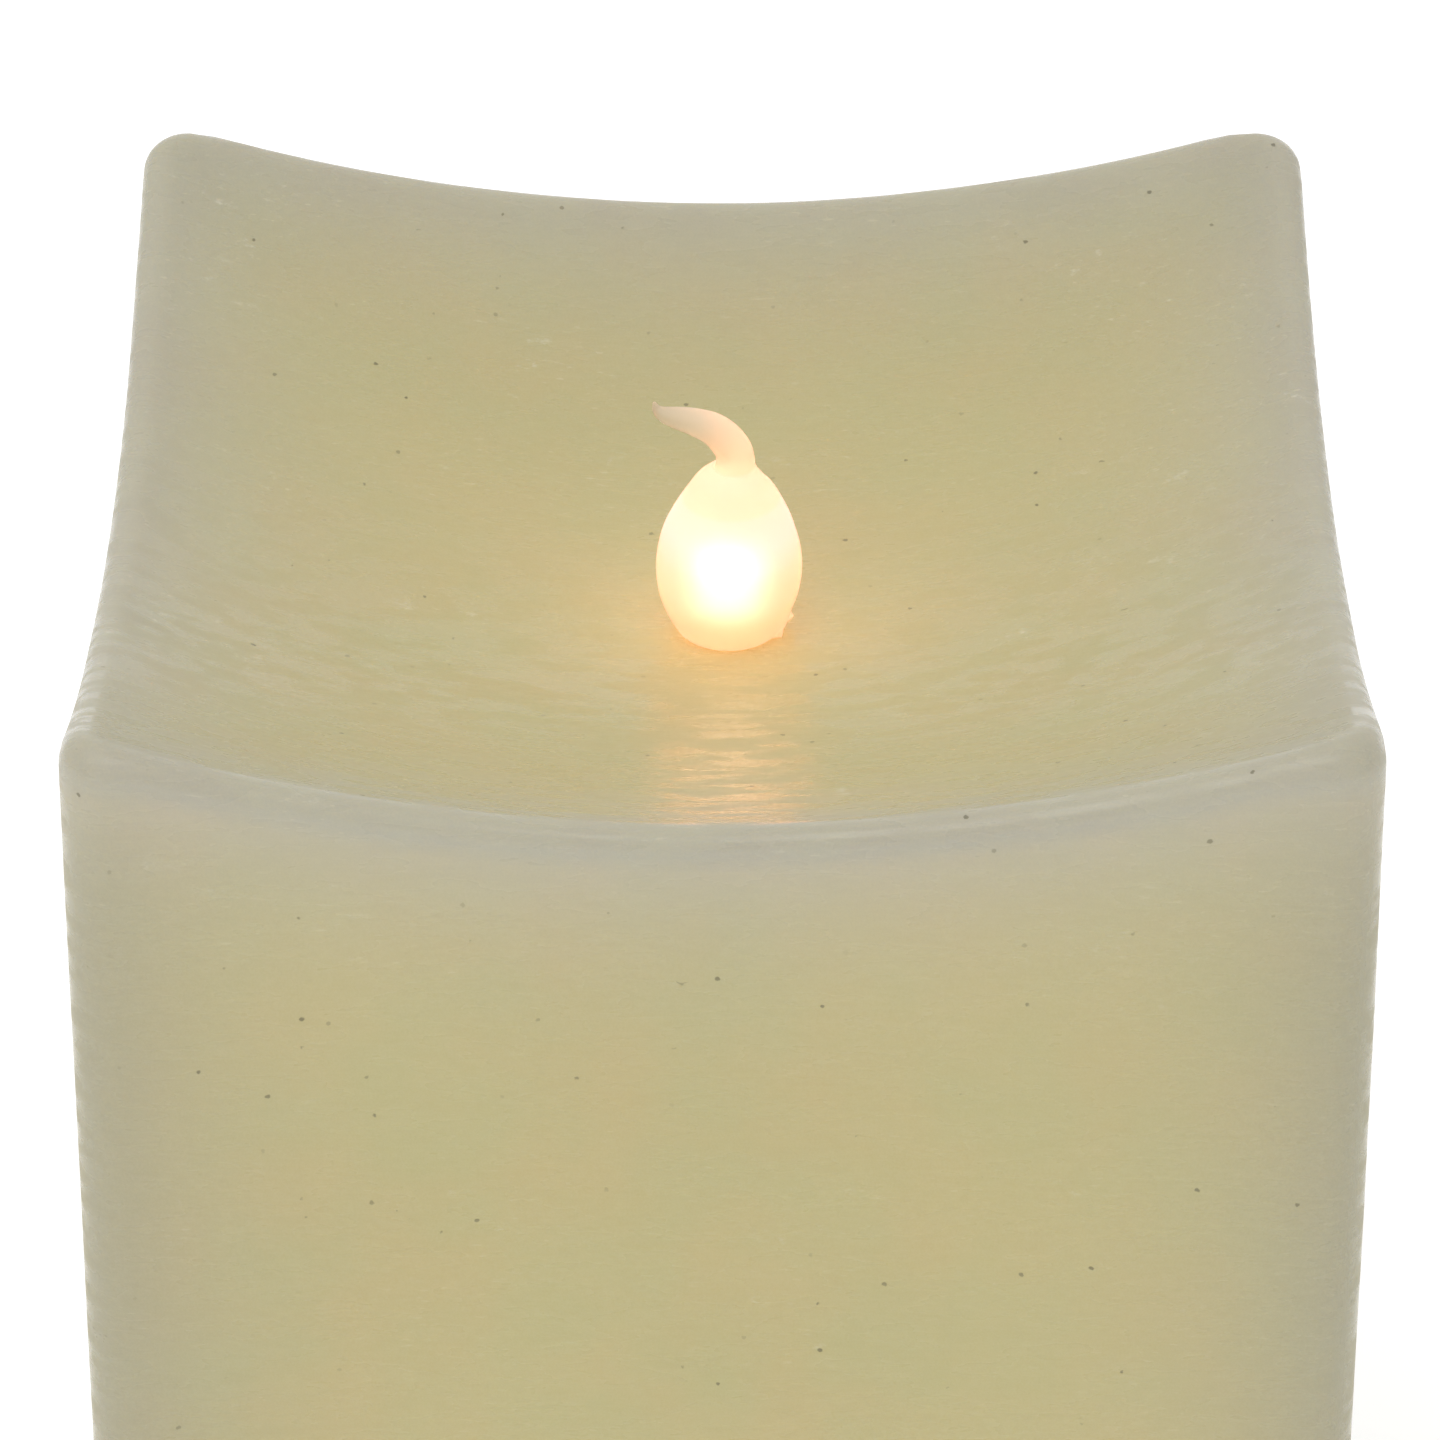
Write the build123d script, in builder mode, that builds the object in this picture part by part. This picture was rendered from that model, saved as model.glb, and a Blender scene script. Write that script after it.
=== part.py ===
"""Flameless LED candle.

A square pillar cast in wax with a dished top, hollow underneath. A plastic base with a battery tray,
a hinged battery door, a small circuit board and a slide switch is glued into the hollow, and a stalk
carries one LED up through the wax, dipped in silicone that ends in a curled tail like a flame.

Millimetres. Z is up, the feet stand on Z = 0, and the front, where the switch is, faces -Y.
"""
from build123d import *
import math
import os

os.makedirs("parts", exist_ok=True)

# ---- driving dimensions ---------------------------------------------------------------------------

# Wax pillar
rim_width = 101.6           # across flats at the rim
corner_height = 152.4       # top of the corner peaks above the table
corner_rise = 20.7          # corner peaks above the bottom of the dish
dish_across = 0.4624        # how fast the dish rises sideways, per rim width squared
dish_along = 0.5538         # the same, front to back
dish_twist = -0.4756        # flattens the dish towards the corners
side_draft = 0.0071         # growth of each side per mm below the rim
plan_corner = 4.0           # radius of the upright edges
rim_round = 1.8             # rounding of the rim
wall = 8.3                  # wax thickness at the bottom
roof = 16.0                 # wax thickness under the middle of the dish
cavity_draft = 1.0          # the hollow is this much narrower on each side at its top

# Base
foot_radius = 5.0
foot_height = 1.5
foot_place = 35.0
plate_gap = 0.2             # all round, between the plate and the wax
plate_thick = 2.5
shell_wall = 1.6            # moulded walls

# Cells and their tray
cell_radius = 7.1
cell_length = 49.0
nub_radius = 2.75
nub_length = 1.5
cell_pitch = 14.9
cell_count = 3
contact_thick = 0.4
spring_room = 5.1           # length of a fitted spring
spring_wire = 0.6
tray_side_room = 0.5
tray_top_room = 0.5

# Battery door
door_gap = 0.3
door_thick = 2.3
window_margin = 1.0         # the window is this much larger than the tray's hollow
pin_radius = 0.7
pin_length = 2.0
pin_clearance = 0.05
latch_width = 10.0
latch_length = 8.0
latch_slot = 1.0

# Switch and board
board_y = -34.0
board_length = 56.0
board_width = 15.0
board_thick = 1.6
board_post_x = 25.0
switch_length = 13.0
switch_width = 6.4
switch_height = 6.0
switch_travel = 4.0
knob_length = 3.0
knob_width = 1.8

# Flame and its stalk
flame_x = 0.5               # the flame stands a little off centre
flame_lift = 0.15           # its cut ring clears the curved wax by this
lead_pitch = 2.6
led_radius = 2.5
led_flange_radius = 2.9
led_flange = 1.0
led_straight = 5.2
led_sunk = 0.75             # the LED's flange starts this far below the flame's cut ring
stalk_outer = 4.5
stalk_inner = 3.2
wax_hole = 3.3
wire_radius = 0.6

# ---- worked out from them -------------------------------------------------------------------------

wax_z = foot_height
dish_z = corner_height - corner_rise
cavity_top = dish_z - roof
base_width = rim_width + 2 * side_draft * (corner_height - wax_z)
cavity_width = base_width - 2 * wall
plate_width = cavity_width - 2 * plate_gap
plate_z = foot_height
plate_top = plate_z + plate_thick
cell_z = plate_top + tray_top_room + cell_radius
nub_face = (cell_length + nub_length + spring_room) / 2
tray_half_x = nub_face + contact_thick
tray_half_y = (cell_count - 1) / 2 * cell_pitch + cell_radius + tray_side_room
tray_roof = cell_z + cell_radius + tray_top_room
tray_top = tray_roof + shell_wall
window_half_x = tray_half_x + window_margin
window_half_y = tray_half_y + window_margin
door_half_x = window_half_x - door_gap
door_half_y = window_half_y - door_gap
hinge_y = door_half_y - door_thick / 2
hinge_z = plate_z + door_thick / 2
switch_z = plate_top + 0.2
board_z = switch_z + switch_height
board_top = board_z + board_thick
flame_z = dish_z + flame_lift
led_z = flame_z - led_sunk
cell_rows = [(row - 1) * cell_pitch for row in range(cell_count)]
cell_ways = [1 if row % 2 == 0 else -1 for row in range(cell_count)]
corners = [(-1, -1), (1, -1), (1, 1), (-1, 1)]


def dish_rise(x, y):
    """Height of the wax top above the bottom of the dish."""
    across = (x / rim_width) ** 2
    along = (y / rim_width) ** 2
    return rim_width * (dish_across * across + dish_along * along + dish_twist * across * along)


# ---- wax shell ------------------------------------------------------------------------------------

reach = 60.0
steps = 12
grid = [reach * (2 * i / steps - 1) for i in range(steps + 1)]
dish_points = [[(x, y, dish_z + dish_rise(x, y)) for x in grid] for y in grid]
dish_face = Face.make_surface_from_array_of_points(dish_points)
blank_top = corner_height + 12.0
blank_top_width = base_width - 2 * side_draft * (blank_top - wax_z)

with BuildPart() as wax_shell:
    with BuildSketch(Plane.XY.offset(wax_z)):
        RectangleRounded(base_width, base_width, plan_corner)
    with BuildSketch(Plane.XY.offset(blank_top)):
        RectangleRounded(blank_top_width, blank_top_width, plan_corner)
    loft()
    extrude(dish_face, amount=reach, dir=(0, 0, 1), mode=Mode.SUBTRACT)
    rim = wax_shell.faces().sort_by(Axis.Z)[-1]
    fillet(rim.edges(), rim_round)
    with BuildSketch(Plane.XY.offset(wax_z)):
        RectangleRounded(cavity_width, cavity_width, plan_corner)
    with BuildSketch(Plane.XY.offset(cavity_top)):
        RectangleRounded(cavity_width - 2 * cavity_draft, cavity_width - 2 * cavity_draft, plan_corner)
    loft(mode=Mode.SUBTRACT)
    with BuildSketch(Plane.XY.offset(cavity_top - 1)):
        with Locations((flame_x, 0)):
            Circle(wax_hole)
    extrude(amount=roof + 2, mode=Mode.SUBTRACT)
wax_shell.part.label = "wax_shell"
export_step(wax_shell.part, "parts/wax_shell.step")

# ---- silicone flame: an egg on a cut ring, drawn out into a curled, tapering tail -------------------

flame_side = Plane(origin=(flame_x, 0, flame_z), x_dir=(1, 0, 0), z_dir=(0, -1, 0))
flame_axis = Axis((flame_x, 0, 0), (0, 0, 1))
egg_ring = 4.2
egg_outline = [
    # radius, height
    (egg_ring, 0), (5.15, 1.8), (5.85, 4.0), (6.05, 6.2), (5.7, 9.0), (4.7, 11.8), (3.2, 13.8), (1.7, 14.9),
]
led_bore = led_radius + 0.15
ring_bore = led_flange_radius + 0.15
ring_bore_depth = 0.6
bore_straight = led_flange + led_straight - led_sunk
tail = [
    # sideways, height, radius
    (0.45, 13.4, 1.95),
    (0.56, 15.6, 1.66),
    (0.4, 17.0, 1.53),
    (-0.3, 18.1, 1.47),
    (-1.2, 18.95, 1.36),
    (-2.2, 19.45, 1.24),
    (-3.3, 19.83, 1.08),
    (-4.4, 20.1, 0.9),
    (-5.3, 20.4, 0.68),
    (-5.85, 20.85, 0.42),
    (-6.1, 21.5, 0.16),
]


def tail_plane(index):
    """Plane across the tail at one of its stations."""
    before = tail[max(index - 1, 0)]
    after = tail[min(index + 1, len(tail) - 1)]
    x, height, _ = tail[index]
    along = (after[0] - before[0], 0, after[1] - before[1])
    return Plane(origin=(flame_x + x, 0, flame_z + height), x_dir=(0, 1, 0), z_dir=along)


with BuildPart() as flame_tip:
    with BuildSketch(flame_side):
        with BuildLine():
            Spline(*egg_outline)
            Line(egg_outline[-1], (0, egg_outline[-1][1]))
            Line((0, egg_outline[-1][1]), (0, 0))
            Line((0, 0), egg_outline[0])
        make_face()
    revolve(axis=flame_axis)
    for index, station in enumerate(tail):
        with BuildSketch(tail_plane(index)):
            Circle(station[2])
    loft()
    with BuildSketch(flame_side):
        with BuildLine():
            Polyline((0, 0), (ring_bore, 0), (ring_bore, ring_bore_depth), (led_bore, ring_bore_depth))
            Line((led_bore, ring_bore_depth), (led_bore, bore_straight))
            CenterArc((0, bore_straight), led_bore, 0, 90)
            Line((0, bore_straight + led_bore), (0, 0))
        make_face()
    revolve(axis=flame_axis, mode=Mode.SUBTRACT)
flame_tip.part.label = "flame_tip"
export_step(flame_tip.part, "parts/flame_tip.step")

# ---- LED and its leads ----------------------------------------------------------------------------

led_side = Plane(origin=(flame_x, 0, led_z), x_dir=(1, 0, 0), z_dir=(0, -1, 0))
led_dome = led_flange + led_straight
with BuildPart() as led_body:
    with BuildSketch(led_side):
        with BuildLine():
            Polyline((0, 0), (led_flange_radius, 0), (led_flange_radius, led_flange))
            Line((led_flange_radius, led_flange), (led_radius, led_flange))
            Line((led_radius, led_flange), (led_radius, led_dome))
            CenterArc((0, led_dome), led_radius, 0, 90)
            Line((0, led_dome + led_radius), (0, 0))
        make_face()
    revolve(axis=flame_axis)
led_body.part.label = "led_body"
export_step(led_body.part, "parts/led_body.step")

lead_size = 0.5
lead_bottom = cavity_top - 6.0
lead_places = [(flame_x - lead_pitch / 2, 0), (flame_x + lead_pitch / 2, 0)]
with BuildPart() as led_leads:
    with BuildSketch(Plane.XY.offset(lead_bottom)):
        with Locations(*lead_places):
            Rectangle(lead_size, lead_size)
    extrude(amount=led_z - lead_bottom)
led_leads.part.label = "led_leads"
export_step(led_leads.part, "parts/led_leads.step")

# ---- stalk: holder under the wax, sleeves on the joints, tube down to the tray ----------------------

holder_flange = 1.5
holder_flange_radius = 8.0
holder_neck = wax_hole - 0.1
lead_passage = 1.9
skirt_length = 8.5
skirt_outer = stalk_outer + 1.5
stalk_clearance = 0.1
flange_z = cavity_top - holder_flange
with BuildPart() as led_holder:
    with BuildSketch(Plane.XY.offset(cavity_top)):
        with Locations((flame_x, 0)):
            Circle(holder_neck)
            Circle(lead_passage, mode=Mode.SUBTRACT)
    extrude(amount=led_z - cavity_top)
    with BuildSketch(Plane.XY.offset(flange_z)):
        with Locations((flame_x, 0)):
            Circle(holder_flange_radius)
            Circle(lead_passage, mode=Mode.SUBTRACT)
    extrude(amount=holder_flange)
    with BuildSketch(Plane.XY.offset(flange_z - skirt_length)):
        with Locations((flame_x, 0)):
            Circle(skirt_outer)
            Circle(stalk_outer + stalk_clearance, mode=Mode.SUBTRACT)
    extrude(amount=skirt_length)
led_holder.part.label = "led_holder"
export_step(led_holder.part, "parts/led_holder.step")

sleeve_radius = 1.1
sleeve_bore = wire_radius + 0.05
sleeve_length = 12.0
sleeve_bottom = flange_z - 0.5 - sleeve_length
with BuildPart() as heat_shrink_sleeves:
    with BuildSketch(Plane.XY.offset(sleeve_bottom)):
        with Locations(*lead_places):
            Circle(sleeve_radius)
            Circle(sleeve_bore, mode=Mode.SUBTRACT)
    extrude(amount=sleeve_length)
heat_shrink_sleeves.part.label = "heat_shrink_sleeves"
export_step(heat_shrink_sleeves.part, "parts/heat_shrink_sleeves.step")

stalk_top = flange_z - 1.0
port_bottom = 31.0
port_height = 10.0
port_width = 5.0
with BuildPart() as led_stalk:
    with BuildSketch(Plane.XY.offset(tray_top)):
        with Locations((flame_x, 0)):
            Circle(stalk_outer)
            Circle(stalk_inner, mode=Mode.SUBTRACT)
    extrude(amount=stalk_top - tray_top)
    with BuildSketch(Plane.XY.offset(port_bottom)):
        with Locations((flame_x, -stalk_outer)):
            Rectangle(port_width, stalk_outer)
    extrude(amount=port_height, mode=Mode.SUBTRACT)
led_stalk.part.label = "led_stalk"
export_step(led_stalk.part, "parts/led_stalk.step")

# ---- base plate -----------------------------------------------------------------------------------

boss_x = tray_half_x + shell_wall + 4.5
boss_y = 16.0
boss_radius = 3.2
boss_top = plate_top + 8.0
boss_places = [(boss_x * sx, boss_y * sy) for sx, sy in corners]
tapping_radius = 1.2
board_screw_radius = 0.9
screw_clearance = 0.05
post_radius = 2.5
post_places = [(-board_post_x, board_y), (board_post_x, board_y)]
slot_length = knob_length + switch_travel + 0.4
slot_width = knob_width + 0.4
scoop_width = 14.0
scoop_depth = 1.2
latch_notch = 0.8
plate_corner = plan_corner - plate_gap
rib_height = 3.0
rib_thick = 1.2
rib_half = 41.0
rib_length = 60.0
edge_ribs = [
    # middle x, middle y, size along x, size along y
    (0, rib_half, rib_length, rib_thick),
    (-rib_half, 0, rib_thick, rib_length),
    (rib_half, 0, rib_thick, rib_length),
]

with BuildPart() as base_plate:
    with BuildSketch(Plane.XY.offset(plate_z)):
        RectangleRounded(plate_width, plate_width, plate_corner)
        Rectangle(2 * window_half_x, 2 * window_half_y, mode=Mode.SUBTRACT)
        with Locations((0, board_y)):
            SlotOverall(slot_length, slot_width, mode=Mode.SUBTRACT)
    extrude(amount=plate_thick)
    with BuildSketch(Plane.XY.offset(plate_top)):
        with Locations(*boss_places):
            Circle(boss_radius)
    extrude(amount=boss_top - plate_top)
    with BuildSketch(Plane.XY.offset(plate_top)):
        with Locations(*post_places):
            Circle(post_radius)
    extrude(amount=board_z - plate_top)
    with BuildSketch(Plane.XY.offset(plate_top)):
        for x, y, length, width in edge_ribs:
            with Locations((x, y)):
                Rectangle(length, width)
    extrude(amount=rib_height)
    with BuildSketch(Plane.XY.offset(plate_top + 1.0)):
        with Locations(*boss_places):
            Circle(tapping_radius + screw_clearance)
    extrude(amount=boss_top - plate_top, mode=Mode.SUBTRACT)
    with BuildSketch(Plane.XY.offset(plate_top + 1.0)):
        with Locations(*post_places):
            Circle(board_screw_radius + screw_clearance)
    extrude(amount=board_z - plate_top, mode=Mode.SUBTRACT)
    for side in (-1, 1):
        with BuildSketch(Plane.YZ.offset(side * (window_half_x - 0.1))):
            with Locations((hinge_y, hinge_z)):
                Circle(pin_radius + pin_clearance)
        extrude(amount=side * (pin_length + 0.1), mode=Mode.SUBTRACT)
    with BuildSketch(Plane.XY.offset(plate_z)):
        with Locations((0, -window_half_y)):
            SlotOverall(scoop_width, 2 * 3.5)
    extrude(amount=scoop_depth, mode=Mode.SUBTRACT)
    with BuildSketch(Plane.XY.offset(plate_top - 1.1)):
        with Locations((0, -window_half_y)):
            Rectangle(latch_width + 1.0, 2 * latch_notch)
    extrude(amount=1.1, mode=Mode.SUBTRACT)
base_plate.part.label = "base_plate"
export_step(base_plate.part, "parts/base_plate.step")

# ---- battery tray ---------------------------------------------------------------------------------

tray_height = tray_top - plate_top
ear_thick = 2.0
ear_length = boss_x - tray_half_x + boss_radius - 0.2
ear_width = 2 * boss_radius
ear_middle = tray_half_x + shell_wall / 2 + ear_length / 2
cradle_x = 16.0
cradle_thick = 1.6
cradle_drop = 5.0
cradle_gap = 0.35
socket_height = 6.0
tab_width = 3.0
tab_z = tray_roof - 2.0
tab_slot = 0.6
outer_x = 2 * (tray_half_x + shell_wall)
outer_y = 2 * (tray_half_y + shell_wall)

with BuildPart() as battery_tray:
    with BuildSketch(Plane.XY.offset(plate_top)):
        RectangleRounded(outer_x, outer_y, shell_wall)
        Rectangle(2 * tray_half_x, 2 * tray_half_y, mode=Mode.SUBTRACT)
    extrude(amount=tray_roof - plate_top)
    with BuildSketch(Plane.XY.offset(tray_roof)):
        RectangleRounded(outer_x, outer_y, shell_wall)
    extrude(amount=shell_wall)
    for sx, sy in corners:
        with BuildSketch(Plane.XY.offset(boss_top)):
            with Locations((sx * ear_middle, sy * boss_y)):
                Rectangle(ear_length, ear_width)
        extrude(amount=ear_thick)
    with BuildSketch(Plane.XY.offset(boss_top)):
        with Locations(*boss_places):
            Circle(tapping_radius + 0.2)
    extrude(amount=ear_thick, mode=Mode.SUBTRACT)
    for side in (-1, 1):
        with BuildSketch(Plane.YZ.offset(side * cradle_x)):
            with Locations((0, tray_roof - cradle_drop / 2)):
                Rectangle(2 * tray_half_y, cradle_drop)
            with Locations(*[(y, cell_z) for y in cell_rows]):
                Circle(cell_radius + cradle_gap, mode=Mode.SUBTRACT)
        extrude(amount=cradle_thick)
    with BuildSketch(Plane.XY.offset(tray_top)):
        with Locations((flame_x, 0)):
            Circle(stalk_outer + stalk_clearance + shell_wall)
            Circle(stalk_outer + stalk_clearance, mode=Mode.SUBTRACT)
    extrude(amount=socket_height)
    for end in (0, cell_count - 1):
        side = 1 if end == 0 else -1
        with BuildSketch(Plane.YZ.offset(side * (tray_half_x - 0.1))):
            with Locations((cell_rows[end], tab_z)):
                Rectangle(tab_width + 0.4, tab_slot)
        extrude(amount=side * (shell_wall + 0.2), mode=Mode.SUBTRACT)
battery_tray.part.label = "battery_tray"
export_step(battery_tray.part, "parts/battery_tray.step")

# ---- battery door: round-edged hinge side with two stub pins, springy latch finger in front ---------

nose = 0.2
grip_height = 0.5
with BuildPart() as battery_door:
    with BuildSketch(Plane.XY.offset(plate_z)):
        with Locations((0, (hinge_y - door_half_y) / 2)):
            Rectangle(2 * door_half_x, hinge_y + door_half_y)
    extrude(amount=door_thick)
    with BuildSketch(Plane.YZ.offset(-door_half_x)):
        with Locations((hinge_y, hinge_z)):
            Circle(door_thick / 2)
    extrude(amount=2 * door_half_x)
    with BuildSketch(Plane.YZ.offset(-door_half_x - door_gap - pin_length + 0.3)):
        with Locations((hinge_y, hinge_z)):
            Circle(pin_radius)
    extrude(amount=2 * (door_half_x + door_gap + pin_length - 0.3))
    with BuildSketch(Plane.XY.offset(plate_z)):
        for side in (-1, 1):
            with Locations((side * (latch_width + latch_slot) / 2, -door_half_y + latch_length / 2)):
                Rectangle(latch_slot, latch_length)
    extrude(amount=door_thick, mode=Mode.SUBTRACT)
    with BuildSketch(Plane.XY.offset(plate_top - 1.0)):
        with Locations((0, -door_half_y - nose / 2 + 0.5)):
            Rectangle(latch_width - 1.0, nose + 1.0)
    extrude(amount=0.8)
    with BuildSketch(Plane.XY.offset(plate_z - grip_height)):
        with Locations(*[(0, -door_half_y + 1.2 + 1.6 * row) for row in range(3)]):
            SlotOverall(latch_width - 2.0, 0.7)
    extrude(amount=grip_height)
battery_door.part.label = "battery_door"
export_step(battery_door.part, "parts/battery_door.step")

# ---- three AA cells in series, lying side by side and turned end for end ----------------------------

end_round = 0.6
groove_depth = 0.15
for row in range(cell_count):
    way = cell_ways[row]
    nub_end = (way * nub_face, cell_rows[row], cell_z)
    with BuildPart() as battery:
        with BuildSketch(Plane(origin=nub_end, x_dir=(-way, 0, 0), z_dir=(0, -way, 0))):
            with BuildLine():
                Polyline(
                    (0, 0),
                    (0, nub_radius),
                    (nub_length, nub_radius),
                    (nub_length, cell_radius - end_round),
                    (nub_length + end_round, cell_radius),
                    (nub_length + 2.0, cell_radius),
                    (nub_length + 2.2, cell_radius - groove_depth),
                    (nub_length + 2.8, cell_radius - groove_depth),
                    (nub_length + 3.0, cell_radius),
                    (nub_length + cell_length - end_round, cell_radius),
                    (nub_length + cell_length, cell_radius - end_round),
                    (nub_length + cell_length, 0),
                    close=True,
                )
            make_face()
        revolve(axis=Axis((0, cell_rows[row], cell_z), (1, 0, 0)))
    battery.part.label = f"battery_{row + 1}"
    export_step(battery.part, f"parts/battery_{row + 1}.step")

# ---- contacts: two end plates with solder tabs, two bridges -----------------------------------------

contact_height = 11.0
contact_width = 11.0
tab_reach = 3.6


def end_contact(name, row, side):
    """Nickel plate at one end of the battery, with a solder tab out through the tray's wall."""
    with BuildPart() as contact:
        with BuildSketch(Plane.YZ.offset(side * nub_face)):
            with Locations((cell_rows[row], cell_z)):
                RectangleRounded(contact_width, contact_height, 1.0)
            with Locations((cell_rows[row], (cell_z + tab_z) / 2)):
                Rectangle(tab_width, tab_z - cell_z + contact_thick)
        extrude(amount=side * contact_thick)
        with BuildSketch(Plane.XY.offset(tab_z - contact_thick / 2)):
            with Locations((side * (nub_face + tab_reach / 2), cell_rows[row])):
                Rectangle(tab_reach, tab_width)
        extrude(amount=contact_thick)
    contact.part.label = name
    export_step(contact.part, f"parts/{name}.step")


def bridge_contact(name, first_row, side):
    """Nickel plate that joins two neighbouring cells."""
    middle = (cell_rows[first_row] + cell_rows[first_row + 1]) / 2
    with BuildPart() as contact:
        with BuildSketch(Plane.YZ.offset(side * nub_face)):
            with Locations((middle, cell_z)):
                RectangleRounded(cell_pitch + contact_width, contact_height, 1.0)
                SlotOverall(5.0, 1.6, rotation=90, mode=Mode.SUBTRACT)
        extrude(amount=side * contact_thick)
    contact.part.label = name
    export_step(contact.part, f"parts/{name}.step")


end_contact("positive_contact", 0, 1)
end_contact("negative_contact", cell_count - 1, -1)
bridge_contact("bridge_contact_left", 0, -1)
bridge_contact("bridge_contact_right", 1, 1)

# ---- coil springs on the cells' flat ends -----------------------------------------------------------

spring_turns = 3
spring_base_radius = 4.4
spring_cone = -14.0
spring_end_gap = 0.02
coil_height = spring_room - spring_wire - 2 * spring_end_gap
seat_x = -nub_face + spring_wire / 2 + spring_end_gap
with BuildPart() as coil_spring:
    with BuildLine() as coil:
        Helix(
            pitch=coil_height / spring_turns, height=coil_height, radius=spring_base_radius,
            center=(seat_x, 0, 0), direction=(1, 0, 0), cone_angle=spring_cone,
        )
    with BuildSketch(Plane(origin=coil.line @ 0, z_dir=coil.line % 0)):
        Circle(spring_wire / 2)
    sweep(is_frenet=True)
for row in range(cell_count):
    turned = 0 if cell_ways[row] > 0 else 180
    with BuildPart() as spring:
        with Locations(Location((0, cell_rows[row], cell_z), (0, 0, turned))):
            add(coil_spring.part)
    spring.part.label = f"spring_{row + 1}"
    export_step(spring.part, f"parts/spring_{row + 1}.step")

# ---- slide switch: body, slider and pins -------------------------------------------------------------

body_wall = 0.6
carriage_length = 6.6
carriage_width = 4.6
carriage_height = 2.4
hollow_length = carriage_length + switch_travel + 0.6
hollow_width = carriage_width + 0.4
hollow_height = carriage_height + 0.4
knob_end = 0.9
rest_x = -switch_travel / 2

with BuildPart() as switch_body:
    with BuildSketch(Plane.XY.offset(switch_z)):
        with Locations((0, board_y)):
            RectangleRounded(switch_length, switch_width, 0.4)
    extrude(amount=switch_height)
    with BuildSketch(Plane.XY.offset(switch_z + body_wall)):
        with Locations((0, board_y)):
            Rectangle(hollow_length, hollow_width)
    extrude(amount=hollow_height, mode=Mode.SUBTRACT)
    with BuildSketch(Plane.XY.offset(switch_z)):
        with Locations((0, board_y)):
            SlotOverall(slot_length, slot_width, mode=Mode.ADD)
    extrude(amount=body_wall, mode=Mode.SUBTRACT)
switch_body.part.label = "switch_body"
export_step(switch_body.part, "parts/switch_body.step")

with BuildPart() as switch_slider:
    with BuildSketch(Plane.XY.offset(switch_z + body_wall + 0.2)):
        with Locations((rest_x, board_y)):
            Rectangle(carriage_length, carriage_width)
    extrude(amount=carriage_height)
    with BuildSketch(Plane.XY.offset(knob_end)):
        with Locations((rest_x, board_y)):
            RectangleRounded(knob_length, knob_width, 0.6)
    extrude(amount=switch_z + body_wall + 0.2 - knob_end)
    with BuildSketch(Plane.XY.offset(knob_end)):
        with Locations(*[(rest_x + 0.9 * groove, board_y) for groove in (-1, 0, 1)]):
            Rectangle(0.3, knob_width)
    extrude(amount=0.25, mode=Mode.SUBTRACT)
switch_slider.part.label = "switch_slider"
export_step(switch_slider.part, "parts/switch_slider.step")

switch_pin_radius = 0.3
switch_pin_y = board_y - 2.2
switch_pin_places = [(x, switch_pin_y) for x in (-4.5, -1.5, 1.5, 4.5)]
with BuildPart() as switch_pins:
    with BuildSketch(Plane.XY.offset(board_z)):
        with Locations(*switch_pin_places):
            Circle(switch_pin_radius)
    extrude(amount=board_thick + 0.8)
switch_pins.part.label = "switch_pins"
export_step(switch_pins.part, "parts/switch_pins.step")

# ---- circuit board and what is soldered on it --------------------------------------------------------

with BuildPart() as circuit_board:
    with BuildSketch(Plane.XY.offset(board_z)):
        with Locations((0, board_y)):
            RectangleRounded(board_length, board_width, 1.0)
        with Locations(*switch_pin_places):
            Circle(switch_pin_radius + 0.05, mode=Mode.SUBTRACT)
        with Locations(*post_places):
            Circle(board_screw_radius + 0.2, mode=Mode.SUBTRACT)
    extrude(amount=board_thick)
circuit_board.part.label = "circuit_board"
export_step(circuit_board.part, "parts/circuit_board.step")

chip_x = -11.0
chip_length = 5.0
chip_width = 4.0
chip_height = 1.4
chip_stand = 0.1
chip_legs = [(chip_x + 1.27 * (leg - 1.5), board_y + side * 2.5) for leg in range(4) for side in (-1, 1)]
with BuildPart() as flicker_chip:
    with BuildSketch(Plane.XY.offset(board_top + chip_stand)):
        with Locations((chip_x, board_y)):
            Rectangle(chip_length, chip_width)
    extrude(amount=chip_height)
    with BuildSketch(Plane.XY.offset(board_top)):
        with Locations(*chip_legs):
            Rectangle(0.4, 1.2)
    extrude(amount=0.6)
flicker_chip.part.label = "flicker_chip"
export_step(flicker_chip.part, "parts/flicker_chip.step")

crystal_radius = 1.5
crystal_length = 8.0
crystal_x = 6.0
crystal_y = board_y - 4.0
with BuildPart() as timer_crystal:
    with BuildSketch(Plane.YZ.offset(crystal_x)):
        with Locations((crystal_y, board_top + crystal_radius)):
            Circle(crystal_radius)
    extrude(amount=crystal_length)
    fillet(timer_crystal.faces().sort_by(Axis.X)[-1].edges(), 0.4)
timer_crystal.part.label = "timer_crystal"
export_step(timer_crystal.part, "parts/timer_crystal.step")

capacitor_radius = 2.5
capacitor_height = 7.0
capacitor_place = (10.0, board_y + 2.8)
with BuildPart() as smoothing_capacitor:
    with BuildSketch(Plane.XY.offset(board_top)):
        with Locations(capacitor_place):
            Circle(capacitor_radius)
    extrude(amount=capacitor_height)
    fillet(smoothing_capacitor.faces().sort_by(Axis.Z)[-1].edges(), 0.4)
smoothing_capacitor.part.label = "smoothing_capacitor"
export_step(smoothing_capacitor.part, "parts/smoothing_capacitor.step")

resistor_places = [
    (-11.0, board_y + 5.5), (-16.0, board_y - 5.0), (-11.0, board_y - 5.0), (15.0, board_y - 1.5),
]
with BuildPart() as chip_resistors:
    with BuildSketch(Plane.XY.offset(board_top)):
        with Locations(*resistor_places):
            Rectangle(3.2, 1.6)
    extrude(amount=0.6)
chip_resistors.part.label = "chip_resistors"
export_step(chip_resistors.part, "parts/chip_resistors.step")

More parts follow.
